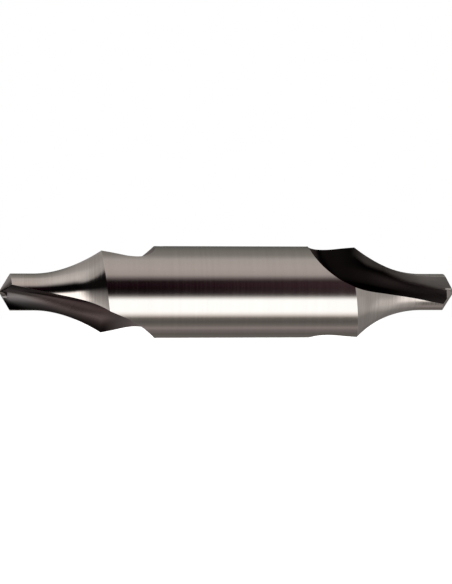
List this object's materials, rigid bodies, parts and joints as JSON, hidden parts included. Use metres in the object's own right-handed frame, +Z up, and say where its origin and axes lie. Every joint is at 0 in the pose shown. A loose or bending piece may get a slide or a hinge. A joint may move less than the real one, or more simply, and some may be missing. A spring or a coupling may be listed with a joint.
{
  "type": "centre drill",
  "caption": "Double-ended centre drill of ground high-speed steel: a round shank with helical flutes, a curved countersink and a pilot point at each end.",
  "frame": {"origin": "middle of the shank, on the drill's axis", "axes": "+X along the drill's axis towards the picture's right-hand point, +Z up, the picture taken from -Y"},
  "size_m": [0.0624, 0.0124, 0.0125],
  "materials": {
    "steel": "fine ground, bright"
  },
  "bodies": {
    "root": {"centre_drill": "steel"}
  },
  "joints": []
}
